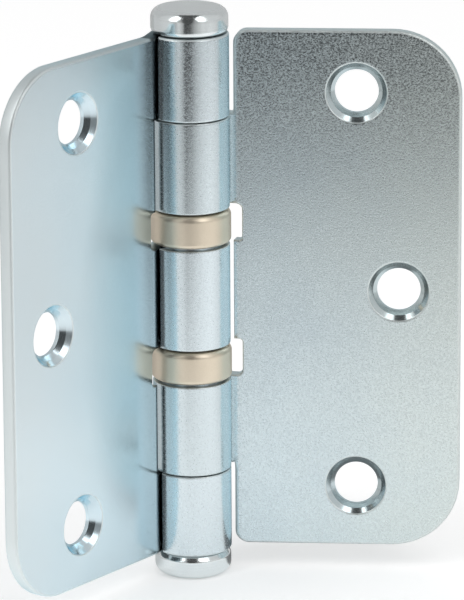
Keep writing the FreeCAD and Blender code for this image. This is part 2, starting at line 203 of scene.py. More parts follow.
def mesh_piece(name, points, quads, triangles, marks=None):
    """Closed piece from points in millimetres, turned so that its faces point outwards."""
    halves = np.vstack([quads[:, [0, 1, 2]], quads[:, [0, 2, 3]], triangles])
    volume = volume_of(points, halves)
    if volume < 0:
        quads, triangles = quads[:, ::-1], triangles[:, ::-1]
    mesh = bpy.data.meshes.new(name)
    mesh.from_pydata((points * MM).tolist(), [], quads.tolist() + triangles.tolist())
    mesh.polygons.foreach_set("use_smooth", np.ones(len(mesh.polygons), bool))
    for mark, values in (marks or {}).items():
        attribute = mesh.attributes.new(mark, "FLOAT", "POINT")
        attribute.data.foreach_set("value", values.astype(np.float32))
    mesh.update()
    made = bpy.data.objects.new(name, mesh)
    bpy.context.scene.collection.objects.link(made)
    print(f"{name}: {len(halves)} triangles, {abs(volume):.0f} mm3")
    return made


def turned(name, profile, closed, height=0.0, steps=144):
    """Surface of revolution: the point (r, z) of the profile goes to (r cos t, r sin t, z).

    An open profile starts and ends on the axis, where one point closes each end.
    """
    inner = profile if closed else profile[1:-1]
    angle = np.linspace(0, 2 * math.pi, steps, endpoint=False)
    radius, level = inner[:, 0, None], inner[:, 1, None] + height
    grid = np.stack(
        [radius * np.cos(angle), radius * np.sin(angle), level + 0 * angle], axis=-1
    )
    quads = bands(len(inner), steps, wrap_rows=closed)
    points = grid.reshape(-1, 3)
    triangles = np.zeros((0, 3), int)
    if not closed:
        poles = np.array([[0, 0, profile[0, 1] + height], [0, 0, profile[-1, 1] + height]])
        first = np.arange(steps)
        last = first + (len(inner) - 1) * steps
        pole = len(points)
        fans = [
            np.stack([np.full(steps, pole), np.roll(first, -1), first], axis=1),
            np.stack([np.full(steps, pole + 1), last, np.roll(last, -1)], axis=1),
        ]
        points, triangles = np.vstack([points, poles]), np.vstack(fans)
    return mesh_piece(name, points, quads, triangles)


# %% [markdown]
# ## The turned pieces
#
# Pin, plug and bearing shells come off a lathe or a drawing press, so each is one profile carried
# round the axis. The head's top edge has a large radius that catches the lamps and its lower edge
# a smaller one; the plug narrows to a neck instead. A shell is drawn from thin strip: a wide radius
# on top and a lip turned in below.

# %% Pin, plug and bearing shells
HEAD_ROUND = 1.7
HEAD_FOOT_ROUND = 1.0
NECK_R = HEAD_R - 0.7
NECK_TOP = HALF_HEIGHT + 1.0
NECK_ROUND = 0.7
NECK_FOOT_ROUND = 0.1
GRIP_END = HALF_HEIGHT - 10.0
SPIGOT_END = HALF_HEIGHT - 6.0
PIN_END = SPIGOT_END - 0.5
PIN_POINT = 0.5
pin_profile = rounded(
    [
        (0, HEAD_TOP),
        (HEAD_R, HEAD_TOP, HEAD_ROUND),
        (HEAD_R, HALF_HEIGHT, HEAD_FOOT_ROUND),
        (GRIP_R, HALF_HEIGHT),
        (GRIP_R, GRIP_END),
        (PIN_R, GRIP_END),
        (PIN_R, PIN_POINT - PIN_END),
        (PIN_R - PIN_POINT, -PIN_END),
        (0, -PIN_END),
    ],
    closed=False,
)
plug_profile = rounded(
    [
        (0, HEAD_TOP),
        (HEAD_R, HEAD_TOP, HEAD_ROUND),
        (HEAD_R, NECK_TOP, NECK_ROUND),
        (NECK_R, HALF_HEIGHT, NECK_FOOT_ROUND),
        (GRIP_R, HALF_HEIGHT),
        (GRIP_R, SPIGOT_END),
        (0, SPIGOT_END),
    ],
    closed=False,
)
pin = turned("pin", supported(pin_profile, closed=False), closed=False)
plug = turned("plug", supported(plug_profile, closed=False) * [1, -1], closed=False)

SHELL_WALL = 0.6
SHELL_LIP = 0.5
SHELL_HOLE_R = 5.05
SHELL_TOP_ROUND = 1.1
SHELL_FOOT_ROUND = 0.7
SHELL_INNER_ROUND = 0.4
SHELL_EDGE = 0.12
SHELL_LIP_EDGE = 0.1
SHELL_INNER_R = SHELL_R - SHELL_WALL
SHELL_LIP_R = SHELL_INNER_R - SHELL_LIP
SHELL_HEIGHT = shell_high[2] - shell_low[2]
SHELL_CEILING = SHELL_HEIGHT - SHELL_WALL
shell_profile = rounded(
    [
        (SHELL_HOLE_R, SHELL_HEIGHT, SHELL_EDGE),
        (SHELL_R, SHELL_HEIGHT, SHELL_TOP_ROUND),
        (SHELL_R, 0, SHELL_FOOT_ROUND),
        (SHELL_LIP_R, 0, SHELL_LIP_EDGE),
        (SHELL_LIP_R, SHELL_WALL, SHELL_LIP_EDGE),
        (SHELL_INNER_R, SHELL_WALL),
        (SHELL_INNER_R, SHELL_CEILING, SHELL_INNER_ROUND),
        (SHELL_HOLE_R, SHELL_CEILING, SHELL_EDGE),
    ]
)
shells = {}
for side in ("upper", "lower"):
    foot = corners_mm(f"{side}_bearing_shell")[0][2]
    shells[side] = turned(f"{side}_shell", supported(shell_profile), closed=True, height=foot)

# %% [markdown]
# ## The leaves, made as the press makes them
#
# A leaf starts as a flat blank: an outline with rounded corners, tongues for the knuckles and three
# holes. It could be built folded, but then every edge would cross the bend and the roll. So it is
# made flat, softened all round by one profile that follows the outline and the holes, and then
# rolled: a function moves each point of the flat blank to its place on the folded sheet.
#
# In the blank, u runs along the sheet's middle from the start of the bend towards the knuckle's
# end, and is negative in the flat leaf; z is the height; w is the distance from the sheet's middle
# towards the back.

# %% The fold
FLANK = math.radians(70)
BEND_R = 6.0
MIDDLE = SHEET / 2
BEND_MID_R = BEND_R + MIDDLE
ROLL_MID_R = BORE_R + MIDDLE
BEND_Y = BACK_Y + BEND_R
BEND_X = (KNUCKLE_R + BEND_R - BEND_Y * math.sin(FLANK)) / math.cos(FLANK)
ROLL_END = math.radians(376.5)
BEND_LENGTH = BEND_MID_R * (math.pi / 2 - FLANK)
FLANK_LENGTH = BEND_X * math.sin(FLANK) - BEND_Y * math.cos(FLANK)
ROLL_LENGTH = ROLL_MID_R * (ROLL_END - FLANK)
FLANK_START = BEND_LENGTH
ROLL_START = FLANK_START + FLANK_LENGTH
TONGUE_END = ROLL_START + ROLL_LENGTH


def fold(u, w):
    """Place in the folded section of the point u along the sheet and w from its middle.

    Flat: straight along x. Bend: round its centre at radius BEND_MID_R - w. Flank: straight, square
    to the direction FLANK. Roll: round the pin's axis at radius ROLL_MID_R + w.
    """
    bend = 1.5 * math.pi - u / BEND_MID_R
    roll = FLANK + (u - ROLL_START) / ROLL_MID_R
    climb = u - FLANK_START
    normal = np.array([math.cos(FLANK), math.sin(FLANK)])
    stages = [u < 0, u < FLANK_START, u < ROLL_START]
    root_x = BEND_X - normal[0] * (BEND_MID_R - w)
    root_y = BEND_Y - normal[1] * (BEND_MID_R - w)
    x = np.select(
        stages,
        [BEND_X - u, BEND_X + (BEND_MID_R - w) * np.cos(bend), root_x - normal[1] * climb],
        (ROLL_MID_R + w) * np.cos(roll),
    )
    y = np.select(
        stages,
        [FACE_Y + MIDDLE + w, BEND_Y + (BEND_MID_R - w) * np.sin(bend), root_y + normal[0] * climb],
        (ROLL_MID_R + w) * np.sin(roll),
    )
    return x, y


print(f"flank {FLANK_LENGTH:.2f} mm, roll {ROLL_LENGTH:.2f} mm along the sheet's middle")

# %% [markdown]
# ## Blank outlines
#
# The knuckles, the slots between them and the pressed corners are the hinge's own measures. Beside
# a bearing the notch goes a little deeper into the leaf, with rounded corners.

# %% Outlines of the two blanks
MIDDLE_Z = 8.55
SLOT_Z = 14.9
END_Z = 30.5
GAP_Z = 30.3
CORNER_R = 11.5
BARREL_CORNER_R = 2.2
NOTCH_CORNER_R = 1.0
STEP_CORNER_R = 0.55
NOTCH_X = 7.2
SLOT_NOTCH_X = 8.45
NOTCH = BEND_MID_R * math.asin((BEND_X - NOTCH_X) / BEND_MID_R)
SLOT_NOTCH = BEND_X - SLOT_NOTCH_X
FREE_EDGE = BEND_X - LEAF_WIDTH


def mirrored(corners):
    """The upper half of an outline and the same corners below, in the other order."""
    below = [(corner[0], -corner[1], *corner[2:]) for corner in reversed(corners)]
    return corners + below


three_knuckle_corners = mirrored(
    [
        (FREE_EDGE, HALF_HEIGHT, CORNER_R),
        (TONGUE_END, HALF_HEIGHT),
        (TONGUE_END, END_Z),
        (NOTCH, END_Z),
        (NOTCH, SLOT_Z),
        (SLOT_NOTCH, SLOT_Z, STEP_CORNER_R),
        (SLOT_NOTCH, MIDDLE_Z, NOTCH_CORNER_R),
        (TONGUE_END, MIDDLE_Z),
    ]
)
two_knuckle_corners = mirrored(
    [
        (FREE_EDGE, HALF_HEIGHT, CORNER_R),
        (NOTCH, HALF_HEIGHT, BARREL_CORNER_R),
        (NOTCH, GAP_Z),
        (TONGUE_END, GAP_Z),
        (TONGUE_END, SLOT_Z),
        (SLOT_NOTCH, SLOT_Z, NOTCH_CORNER_R),
        (SLOT_NOTCH, MIDDLE_Z, STEP_CORNER_R),
        (NOTCH, MIDDLE_Z),
    ]
)
print(len(three_knuckle_corners), "and", len(two_knuckle_corners), "corners")

# %% [markdown]
# ## Softened edges and fold lines
#
# The edge profile is the sheet's thickness with a quarter circle at each face. The leaf's own edges
# are tumbled wide and soft, those between the knuckles nearly sharp. The flat faces are filled with
# triangles later on, and fold lines across the tongues keep those narrow where the sheet is rolled.

# %% Fold lines and the edge of a blank
EDGE_SOFT = 0.5
TOP_SOFT = 0.4
JOINT_SOFT = 0.22
BEARING_SOFT = 0.14
SUPPORT = 0.15
TINY = 1e-6
FOLD_STEP = math.radians(3)
LAST_FOLD = TONGUE_END - TOP_SOFT - 0.2
NOTCH_INSET = NOTCH - EDGE_SOFT - SUPPORT
SLOT_INSET = SLOT_NOTCH - JOINT_SOFT - SUPPORT
BEND_FOLDS = [
    SLOT_INSET - 0.05,
    SLOT_NOTCH + 0.05,
    (SLOT_NOTCH + NOTCH_INSET) / 2,
    NOTCH_INSET - 0.03,
]
FLANK_FOLDS = np.linspace(NOTCH + 0.05, FLANK_START, 4)
ROLL_FOLDS = np.arange(ROLL_START, LAST_FOLD, FOLD_STEP * ROLL_MID_R)
FOLDS = np.concatenate([BEND_FOLDS, FLANK_FOLDS, ROLL_FOLDS])
print(len(FOLDS), "fold lines")


def cut_at_folds(loop):
    """The loop with a point added wherever a side crosses a fold line."""
    ahead = np.roll(loop, -1, axis=0)
    start, end = loop[:, 0, None] - FOLDS, ahead[:, 0, None] - FOLDS
    side, line = np.nonzero(start * end < -(TINY**2))
    share = start[side, line] / (start[side, line] - end[side, line])
    order = np.lexsort((share, side))
    side, share = side[order], share[order, None]
    added = loop[side] * (1 - share) + ahead[side] * share
    return np.insert(loop, side + 1, added, axis=0)


def fold_edges(loop):
    """Pairs of points of the loop that a fold line joins across the sheet."""
    pairs = []
    for place in FOLDS:
        on_line = np.flatnonzero(np.abs(loop[:, 0] - place) < TINY)
        on_line = on_line[np.argsort(loop[on_line, 1])]
        pairs += on_line.reshape(-1, 2).tolist()
    return pairs


def inward(loop):
    """Move of each point that shifts both its sides by one unit to their left.

    With the sides' left normals n and m it is (n + m) / (1 + n . m).
    """
    ahead = unit(np.roll(loop, -1, axis=0) - loop)
    after = np.stack([-ahead[:, 1], ahead[:, 0]], axis=1)
    before = np.roll(after, 1, axis=0)
    return (before + after) / (1 + np.einsum("ij,ij->i", before, after))[:, None]


def edge_softness(loop):
    """Radius of the softened edge at each point of the outline."""
    level = np.abs(loop[:, 1])
    tongue = loop[:, 0] > FLANK_START
    bearing = np.isclose(level, SLOT_Z) | np.isclose(level, MIDDLE_Z)
    top = np.isclose(level, HALF_HEIGHT)
    notched = (loop[:, 0] > SLOT_NOTCH - TINY) & (level < END_Z + TINY)
    places = [tongue & bearing, tongue & top, tongue | notched]
    return np.select(places, [BEARING_SOFT, TOP_SOFT, JOINT_SOFT], EDGE_SOFT)


def rim_rows(loop):
    """Rows of points from the front face round the softened edge to the back face.

    Each half of the edge is a quarter circle: 1 - sin of an even angle is the way in, and 1 - cos
    the lift from the face, both times the radius.
    """
    soft = edge_softness(loop)
    angle = np.linspace(0, math.pi / 2, 5)
    way_in, lift = 1 - np.sin(angle), 1 - np.cos(angle)
    into = inward(loop)
    ways = np.concatenate([[1.0], way_in, way_in[::-1], [1.0]])[:, None] * soft
    ways[[0, -1]] += SUPPORT
    lifts = np.concatenate([[0.0], lift, lift[::-1], [0.0]])[:, None] * soft
    half = len(lifts) // 2
    levels = np.concatenate([lifts[:half] - MIDDLE, MIDDLE - lifts[half:]])
    flat = loop + into * ways[..., None]
    return np.concatenate([flat, levels[..., None]], axis=-1)


# %% [markdown]
# ## Screw holes
#
# A countersunk hole is a section turned round its own axis: a ring on the front face, the cone, a
# little steeper where the drill has gone deeper, the straight wall and a ring on the back. A hole
# could be cut out, but then slivers would shade its edge; rows of circles keep it round and even.

# %% Countersunk holes
HOLE_R = 3.65
HOLE_DEPTH = 1.75
SINK_R = 5.15
STEP_R = 4.3
STEP_DEPTH = 0.85
SINK_ROUND = 0.3
STEP_ROUND = 0.1
HOLE_ROUND = 0.15
SINK_RING = SINK_R + SUPPORT + 0.2
HOLE_RING = HOLE_R + SUPPORT + 0.15
OUTER_HOLE = (BEND_X - (LEAF_WIDTH - 17.5), HALF_HEIGHT - 10.5)
LOWER_HOLE = (OUTER_HOLE[0], -OUTER_HOLE[1])
MIDDLE_HOLE = (BEND_X - (LEAF_WIDTH - 10.4), 0.0)


def hole_rows(centre, steps=96):
    """Rows of circles that follow the countersink's section through the sheet."""
    section = rounded(
        [
            (SINK_RING, -MIDDLE),
            (SINK_R, -MIDDLE, SINK_ROUND),
            (STEP_R, STEP_DEPTH - MIDDLE, STEP_ROUND),
            (HOLE_R, HOLE_DEPTH - MIDDLE, STEP_ROUND),
            (HOLE_R, MIDDLE, HOLE_ROUND),
            (HOLE_RING, MIDDLE),
        ],
        closed=False,
    )
    section = supported(section, near=0.08, closed=False)
    angle = -np.linspace(0, 2 * math.pi, steps, endpoint=False)
    circle = np.stack([np.cos(angle), np.sin(angle)], axis=1)
    flat = np.array(centre) + circle * section[:, :1, None]
    level = np.repeat(section[:, 1, None], steps, axis=1)
    return np.concatenate([flat, level[..., None]], axis=-1)


print(f"holes {2 * HOLE_R:.1f} mm, countersunk to {2 * SINK_R:.1f} mm")

# %% [markdown]
# ## The two leaves
#
# The flat faces between the outline's edge and the holes are filled by a triangulation that keeps
# the fold lines as edges. Then everything is rolled and turned at once. The marks are written on
# the blank, where the distance along the sheet says what the roll hides.


# %% Leaf from its blank
def filled(rows, extra_edges):
    """Triangles of a flat face bounded by loops; loop 0 is outside and the others are holes."""
    starts = np.cumsum([0] + [len(row) for row in rows[:-1]])
    edges = list(extra_edges)
    for start, row in zip(starts, rows):
        index = start + np.arange(len(row))
        edges += np.stack([index, np.roll(index, -1)], axis=1).tolist()
    flat = np.concatenate(rows)[:, :2]
    found = mathutils.geometry.delaunay_2d_cdt(
        [mathutils.Vector(spot) for spot in flat.tolist()], edges, [], 1, TINY
    )
    if len(found[0]) != len(flat):
        raise RuntimeError(f"the filling moved {len(found[0]) - len(flat)} points")
    triangles = np.array(found[2])
    centre = flat[triangles].mean(axis=1)
    for row in rows[1:]:
        middle, reach = row[:, :2].mean(axis=0), np.ptp(row[:, 0]) / 2
        outside = np.linalg.norm(centre - middle, axis=1) > reach * 0.999
        triangles, centre = triangles[outside], centre[outside]
    return triangles


def joined(grids):
    """All points in one list, the quads between neighbouring rows, and where each grid starts."""
    starts = np.cumsum([0] + [grid[..., 0].size for grid in grids[:-1]])
    points = np.concatenate([grid.reshape(-1, 3) for grid in grids])
    quads = [bands(*grid.shape[:2]) + start for grid, start in zip(grids, starts)]
    return points, np.concatenate(quads), starts


def flat_faces(grids, starts, folds):
    """Triangles of the front face, between the first rows, and of the back, between the last."""
    faces = []
    for end in (0, -1):
        index = [
            start + np.arange(grid[..., 0].size).reshape(grid.shape[:2])[end]
            for grid, start in zip(grids, starts)
        ]
        made = np.concatenate(index)[filled([grid[end] for grid in grids], folds)]
        faces.append(made if end else made[:, ::-1])
    return np.concatenate(faces)


BURNISHED = 0.4
FLAT_SMOOTH = 0.85
SINK_RIM = 0.12
# Painted shade on the flat sheet beside the roll: how far it reaches, and its depth, deeper beside
# the top knuckle.
SHADE_FADE_REACH = 5.0
TOP_KNUCKLE_SHADE = 0.35
BESIDE_ROLL_SHADE = 0.22
FADE = 0.5
BACK_SKIN = 0.2
BACK_FADE = 0.3


def leaf_marks(blank, in_hole, has_ends):
    """Marks of a leaf's points; has_ends says that its knuckles close the barrel's ends."""
    u, below = blank[:, 0], blank[:, 2] + MIDDLE
    cut = in_hole & (below > TINY)
    edge = ~in_hole & (below > TINY) & (below < SHEET - TINY)
    hidden_from, shade_beside, flat_smooth = FLANK_START, 0.0, 0.0
    if has_ends:
        top = blank[:, 1] < -END_Z
        hidden_from = np.where(top, 0.0, FADE)
        shade_beside = np.where(top, TOP_KNUCKLE_SHADE, BESIDE_ROLL_SHADE) * np.clip(u / SHADE_FADE_REACH + 1, 0, 1)
        flat_smooth = FLAT_SMOOTH
    # The shade mark is painted shade: full where the roll hides the sheet, fading out onto the flat
    # sheet beside it.
    hidden = np.clip((u - hidden_from) / FADE, 0, 1)
    inner_side = np.clip((SHEET - BACK_SKIN - below) / BACK_FADE, 0, 1)
    rolled = np.clip((u - FLANK_START) / FADE, 0, 1)
    return {
        "rim": (edge | cut & (below < SINK_RIM)).astype(float),
        "inside": np.maximum(hidden, shade_beside) * inner_side,
        "smooth": np.where(cut, 1.0, flat_smooth + (BURNISHED - flat_smooth) * rolled),
    }


NEAR_CORNER = 1.0
OUTLINE_STEP = math.radians(6)


def leaf(name, corners, has_ends, turn):
    """Blank with softened outline and holes, rolled and turned to its place in the hinge."""
    outline = rounded(corners[::-1], step=OUTLINE_STEP)
    loop = cut_at_folds(supported(outline, near=NEAR_CORNER))
    holes = [hole_rows(centre) for centre in (OUTER_HOLE, MIDDLE_HOLE, LOWER_HOLE)]
    grids = [rim_rows(loop)] + holes
    blank, quads, starts = joined(grids)
    triangles = flat_faces(grids, starts, fold_edges(loop))
    in_hole = np.arange(len(blank)) >= starts[1]
    x, y = fold(blank[:, 0], blank[:, 2])
    side = -1 if has_ends else 1
    folded = np.stack([side * x, y, side * blank[:, 1]], axis=1)
    along, across = np.cos(turn), np.sin(turn)
    placed = folded @ np.array([[along, across, 0], [-across, along, 0], [0, 0, 1]])
    return mesh_piece(name, placed, quads, triangles, leaf_marks(blank, in_hole, has_ends))


three_knuckle = leaf("three_knuckle", three_knuckle_corners, True, 0.0)
two_knuckle = leaf("two_knuckle", two_knuckle_corners, False, -REST_TURN)

# %% [markdown]
# ## Each piece rides on its body
#
# The new pieces take the place of the measured solids and move with the same bodies, so that the
# pin stays with the three-knuckle leaf when the other one swings.

# %% Ride and replace
PLACES = [
    (three_knuckle, "fixed_side", "three_knuckle_leaf", "leaf_zinc"),
    (two_knuckle, "swing_side", "two_knuckle_leaf", "leaf_zinc"),
    (pin, "fixed_side", "hinge_pin", "pin_zinc"),
    (plug, "fixed_side", "bottom_plug", "pin_zinc"),
    (shells["upper"], "swing_side", "upper_bearing_shell", "shell_nickel"),
    (shells["lower"], "fixed_side", "lower_bearing_shell", "shell_nickel"),
]
for piece, body, node, slot in PLACES:
    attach(piece, body)
    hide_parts(node)
print(len(PLACES), "pieces stand for solids")

# %% [markdown]
# ## Shader maths as plain Python
#
# A finish is a tree of nodes. One small class wraps a socket so that + - * write the Math nodes,
# and one method of the finish adds any other node from its type, its settings and its inputs.


# %% Finish and Value
class Value:
    """One output of a node; arithmetic on it adds Math nodes."""

    def __init__(self, finish, socket):
        self.finish, self.socket = finish, socket

    def maths(self, operation, first, second):
        """A Math node on two values or numbers."""
        settings = {"operation": operation}
        return self.finish.node("ShaderNodeMath", settings, {0: first, 1: second})

    def __add__(self, other):
        return self.maths("ADD", self, other)

    def __sub__(self, other):
        return self.maths("SUBTRACT", self, other)

    def __rsub__(self, other):
        return self.maths("SUBTRACT", other, self)

    def __mul__(self, other):
        return self.maths("MULTIPLY", self, other)

    __radd__ = __add__
    __rmul__ = __mul__


class Finish:
    """The node tree of a new material, or of a world that is handed in."""

    def __init__(self, name, world=None):
        self.material = world or bpy.data.materials.new(name)
        self.material.use_nodes = True
        self.tree = self.material.node_tree
        self.shader = self.tree.nodes["Background" if world else "Principled BSDF"]

    def node(self, kind, settings=None, sockets=None, out=0):
        """Add a node: its settings first, then values or links of its inputs."""
        made = self.tree.nodes.new(kind)
        for key, setting in (settings or {}).items():
            setattr(made, key, setting)
        for key, value in (sockets or {}).items():
            self.put(made.inputs[key], value)
        return Value(self, made.outputs[out])

    def put(self, socket, value):
        """Link a value to an input, or write a number or colour on it."""
        if isinstance(value, Value):
            self.tree.links.new(value.socket, socket)
        else:
            socket.default_value = value

    def place(self):
        """Where a point lies, in metres from the hinge's origin."""
        return self.node("ShaderNodeTexCoord", out="Object")

    def away(self):
        """Distance from the pin's axis: the length of the place with its height left out."""
        sockets = {0: self.place(), 1: (1, 1, 0)}
        flat = self.node("ShaderNodeVectorMath", {"operation": "MULTIPLY"}, sockets)
        return self.node("ShaderNodeVectorMath", {"operation": "LENGTH"}, {0: flat}, out="Value")

    def noise(self, size_mm, detail=2.0, stretch=(1, 1, 1)):
        """Noise whose grains are about size_mm across, longer where stretch is small."""
        place = self.place()
        scale = tuple(1000.0 / size_mm * part for part in stretch)
        moved = self.node("ShaderNodeMapping", {}, {"Vector": place, "Scale": scale})
        sockets = {"Vector": moved, "Scale": 1.0, "Detail": detail}
        return self.node("ShaderNodeTexNoise", {}, sockets)

    def between(self, value, low, high, to_low=0.0, to_high=1.0):
        """Map a value's range to another, held at both ends."""
        sockets = {0: value, 1: low, 2: high, 3: to_low, 4: to_high}
        return self.node("ShaderNodeMapRange", {"clamp": True}, sockets)

    def mix(self, share, first, second):
        """Blend of two colours."""
        sockets = {0: share, 6: (*first, 1) if isinstance(first, tuple) else first}
        sockets[7] = (*second, 1) if isinstance(second, tuple) else second
        return self.node("ShaderNodeMix", {"data_type": "RGBA"}, sockets, out=2)

    def mark(self, name):
        """A mark that the mesh carries at its points."""
        return self.node("ShaderNodeAttribute", {"attribute_name": name}, {}, out="Fac")

    def bump(self, height, depth_mm):
        """Relief of this depth in millimetres, as a normal."""
        sockets = {"Height": height, "Distance": depth_mm * MM, "Strength": 1.0}
        return self.node("ShaderNodeBump", {}, sockets)

    def wear(self, piece):
        """Give the finish to every material slot of a piece, or add the first one."""
        if not piece.data.materials:
            piece.data.materials.append(self.material)
        for slot in piece.material_slots:
            slot.material = self.material


# %% [markdown]
# ## Zinc plate on sheet
#
# The plating copies the rolled sheet below it, a fine grain a few tenths of a millimetre across,
# and mirrors softly. The grain is relief and not paint: where the surroundings are even it can't be
# seen, and where they change from dark to light it sparkles. The blue comes from the passivation,
# which runs thinner towards the free edges and came out bluer on the three-knuckle leaf. The tone
# wanders a little over the leaf, and the edges are paler and duller, where the die has torn them
# and parts rub in the box. Inside the roll and on the sheet beside it the colour is taken down to
# near-black: painted shade in the crevice.

# %% Leaf finish
GRAZING_ZINC = (0.74, 0.93, 1.0, 1)
WORN_ZINC = (0.82, 0.85, 0.83)
# Near-black colour of the painted shade inside the roll and in the crevice.
SHADE_COLOUR_IN_ROLL = (0.11, 0.12, 0.125)
GRAIN_DEPTH = 0.015
GRAIN_ROUGH = (0.11, 0.38)
RIM_PALE = 0.5
RIM_ROUGH = 0.26
RIM_RELIEF = 0.5
THIN_FROM, THIN_TO = 0.025, 0.055
BARREL_END, LEAF_BEGIN = 0.0066, 0.0085


def sheet_zinc(name, pale, deep, thin_film, barrel, polish):
    """Blue-white plating on grained sheet, with its own tone on the barrel and the free edge."""
    finish = Finish(name)
    grain = finish.noise(0.25, detail=3.0, stretch=(0.8, 0.8, 1))
    cloud = finish.noise(14.0, detail=2.0)
    streak = finish.noise(1.6, detail=2.0, stretch=(1, 1, 0.25))
    away = finish.away()
    tone = grain * 0.08 + cloud * 0.8 + streak * 0.12
    colour = finish.mix(finish.between(tone, 0.35, 0.65), deep, pale)
    thin = finish.between(away + cloud * 0.02, THIN_FROM, THIN_TO)
    colour = finish.mix(thin, colour, thin_film)
    colour = finish.mix(finish.between(away, BARREL_END, LEAF_BEGIN), barrel, colour)
    rim = finish.mark("rim")
    colour = finish.mix(rim * RIM_PALE, colour, WORN_ZINC)
    # Painted shade: the colour goes near-black inside the roll and in the crevice beside it.
    colour = finish.mix(finish.mark("inside"), colour, SHADE_COLOUR_IN_ROLL)
    finish.put(finish.shader.inputs["Base Color"], colour)
    finish.put(finish.shader.inputs["Metallic"], 1.0)
    finish.put(finish.shader.inputs["Specular Tint"], GRAZING_ZINC)
    smooth = finish.mark("smooth")
    rough = finish.between(grain, 0.36, 0.64, *GRAIN_ROUGH)
    rough = rough * (1 - smooth) + smooth * polish
    finish.put(finish.shader.inputs["Roughness"], rough + rim * RIM_ROUGH)
    relief = grain * (1 - smooth + rim * RIM_RELIEF)
    finish.put(finish.shader.inputs["Normal"], finish.bump(relief, GRAIN_DEPTH))
    return finish


blue_zinc = sheet_zinc(
    "blue_zinc",
    pale=(0.715, 0.87, 0.94),
    deep=(0.675, 0.82, 0.89),
    thin_film=(0.725, 0.81, 0.84),
    barrel=(0.72, 0.80, 0.835),
    polish=0.18,
)
pale_zinc = sheet_zinc(
    "pale_zinc",
    pale=(0.68, 0.78, 0.815),
    deep=(0.635, 0.73, 0.77),
    thin_film=(0.685, 0.755, 0.745),
    barrel=(0.69, 0.77, 0.80),
    polish=0.17,
)
blue_zinc.wear(three_knuckle)
pale_zinc.wear(two_knuckle)
print("leaf finish on", three_knuckle.name, "and", two_knuckle.name)

# %% [markdown]
# ## Zinc plate on turned steel
#
# The head and the plug are turned, so their grain runs round the axis. Plating fills the finest
# grooves, and what is left is a pale metal with soft rings, duller on the flat top of the head.


# %% Pin finish
RINGS_PER_METRE = 5000.0
TOP_ROUGH = (0.2, 0.32)


def turned_zinc(name, pale, deep):
    """Plating on lathe-turned steel: rings round the axis, from the distance to it."""
    finish = Finish(name)
    height = finish.node("ShaderNodeSeparateXYZ", {}, {0: finish.place()}, out="Z")
    rings = finish.node(
        "ShaderNodeTexNoise",
        {"noise_dimensions": "1D"},
        {"W": (finish.away() + height) * RINGS_PER_METRE, "Scale": 1.0, "Detail": 2.0},
    )
    grain = finish.noise(0.3, detail=2.0)
    cloud = finish.noise(5.0, detail=3.0)
    tone = rings * 0.3 + grain * 0.3 + cloud * 0.4
    colour = finish.mix(finish.between(tone, 0.35, 0.65), deep, pale)
    finish.put(finish.shader.inputs["Base Color"], colour)
    finish.put(finish.shader.inputs["Metallic"], 1.0)
    rough = finish.between(grain + cloud * 0.5, 0.5, 1.0, 0.12, 0.2)
    flat_top = finish.between(height, (HEAD_TOP - 0.2) * MM, (HEAD_TOP - 0.05) * MM)
    rough = rough + flat_top * finish.between(cloud, 0.4, 0.6, *TOP_ROUGH)
    finish.put(finish.shader.inputs["Roughness"], rough)
    finish.put(finish.shader.inputs["Normal"], finish.bump(rings * 0.6 + grain * 0.4, 0.002))
    return finish


pin_zinc = turned_zinc("pin_zinc", (0.87, 0.92, 0.925), (0.80, 0.845, 0.855))
pin_zinc.wear(pin)
pin_zinc.wear(plug)

# %% [markdown]
# ## Nickel shells, steel races and balls, brass cages
#
# The bearing shells are the only warm pieces: satin nickel with a champagne tint. Inside, races and
# balls are polished steel and the cages stamped brass, as one sees through the gaps when the
# bearing is taken apart.


# %% Bearing finishes
def satin_metal(name, pale, deep, gloss, grain_mm, depth):
    """Plain drawn or ground metal with a fine grain and a wandering tone."""
    finish = Finish(name)
    grain = finish.noise(grain_mm, detail=2.0)
    cloud = finish.noise(4.0, detail=3.0)
    colour = finish.mix(finish.between(grain * 0.4 + cloud * 0.6, 0.35, 0.65), deep, pale)
    finish.put(finish.shader.inputs["Base Color"], colour)
    finish.put(finish.shader.inputs["Metallic"], 1.0)
    rough = finish.between(grain * 0.5 + cloud * 0.5, 0.35, 0.65, *gloss)
    finish.put(finish.shader.inputs["Roughness"], rough)
    finish.put(finish.shader.inputs["Normal"], finish.bump(grain, depth))
    return finish


nickel = satin_metal(
    "shell_nickel",
    pale=(0.84, 0.745, 0.605),
    deep=(0.78, 0.685, 0.545),
    gloss=(0.34, 0.42),
    grain_mm=0.25,
    depth=0.002,
)
steel = satin_metal(
    "bearing_steel",
    pale=(0.66, 0.66, 0.67),
    deep=(0.58, 0.58, 0.60),
    gloss=(0.08, 0.16),
    grain_mm=0.15,
    depth=0.0006,
)
brass = satin_metal(
    "cage_brass",
    pale=(0.80, 0.62, 0.33),
    deep=(0.70, 0.52, 0.26),
    gloss=(0.22, 0.34),
    grain_mm=0.3,
    depth=0.002,
)
for shell in shells.values():
    nickel.wear(shell)
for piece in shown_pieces():
    node = piece.get("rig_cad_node", "")
    if node.endswith("cage"):
        brass.wear(piece)
    elif node.endswith("race") or "_ball_0" in node:
        steel.wear(piece)

# %% [markdown]
# ## The camera
#
# The photograph was taken from far away through a long lens, a little above the hinge. Place, turn
# and focal length were found by fitting the hinge's own corners to the picture.

